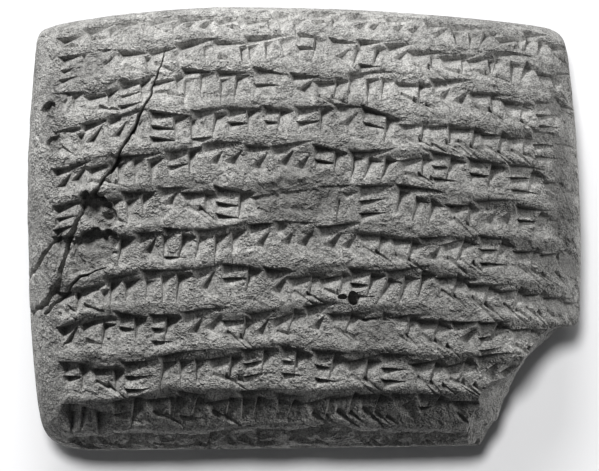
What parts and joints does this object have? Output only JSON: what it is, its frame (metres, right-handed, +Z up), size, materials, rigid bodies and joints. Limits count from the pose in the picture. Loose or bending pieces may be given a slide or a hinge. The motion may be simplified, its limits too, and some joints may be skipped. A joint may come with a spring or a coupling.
{
  "type": "cuneiform tablet",
  "caption": "Cushion-shaped clay tablet covered with rows of shallow wedge strokes, cracked at one end and with one corner broken off.",
  "frame": {"origin": "on the table under the middle of the tablet's bounding box, at the flat of the reverse", "axes": "+X along the rows of writing to the right, +Y to the upper edge, +Z up out of the obverse"},
  "size_m": [0.0632, 0.0506, 0.0236],
  "materials": {
    "clay": "matte fired clay"
  },
  "bodies": {
    "root": {"tablet": "clay"}
  },
  "joints": []
}
